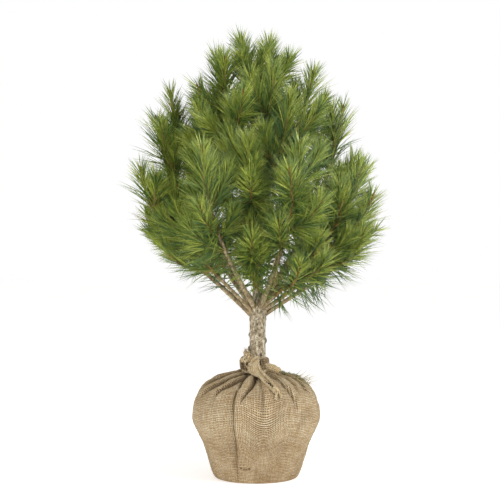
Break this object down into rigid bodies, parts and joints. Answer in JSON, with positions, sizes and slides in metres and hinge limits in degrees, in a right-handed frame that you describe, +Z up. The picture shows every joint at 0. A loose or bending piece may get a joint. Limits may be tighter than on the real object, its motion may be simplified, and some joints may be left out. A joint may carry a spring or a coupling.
{
  "type": "pine sapling with root ball",
  "caption": "Young long-needled pine with a short trunk, a rounded crown of upswept boughs and a burlap-wrapped root ball tied round the trunk's foot.",
  "frame": {"origin": "centre of the flat underside of the root ball", "axes": "+Z up the trunk, -Y towards the front of the plant, +X to the right seen from the front"},
  "size_m": [0.6984, 0.6336, 1.1739],
  "materials": {
    "burlap": "coarse woven jute cloth, dry and matt",
    "twine": "two-ply jute twine, matt and hairy",
    "bark": "thin grey-tan bark with small scars, matt",
    "foliage": "long green pine needles, soft sheen"
  },
  "bodies": {
    "root": {"root_ball": "burlap", "burlap_neck": "burlap", "twine": "twine", "trunk": "bark", "bough_left": "bark", "bough_front_left": "bark", "bough_left_upper": "bark", "bough_back_left": "bark", "bough_front_right": "bark", "bough_right": "bark", "bough_right_mid": "bark", "bough_right_low": "bark", "bough_front_right_low": "bark", "bough_front_left_low": "bark", "bough_right_upper": "bark", "bough_back": "bark", "bough_back_left_low": "bark", "bough_back_right_low": "bark", "foliage_leader": "foliage", "foliage_right_crest": "foliage", "foliage_left": "foliage", "foliage_front_left": "foliage", "foliage_left_upper": "foliage", "foliage_back_left": "foliage", "foliage_front_right": "foliage", "foliage_right": "foliage", "foliage_right_mid": "foliage", "foliage_right_low": "foliage", "foliage_front_right_low": "foliage", "foliage_front_left_low": "foliage", "foliage_right_upper": "foliage", "foliage_back": "foliage", "foliage_back_left_low": "foliage", "foliage_back_right_low": "foliage", "foliage_front_low": "foliage", "foliage_back_low": "foliage", "foliage_left_mid": "foliage", "foliage_front_mid": "foliage", "foliage_right_top": "foliage", "foliage_front_right_mid": "foliage", "foliage_back_mid": "foliage", "foliage_back_left_mid": "foliage", "foliage_left_top": "foliage", "foliage_front_top": "foliage", "foliage_front_left_top": "foliage", "foliage_back_top": "foliage"}
  },
  "joints": []
}
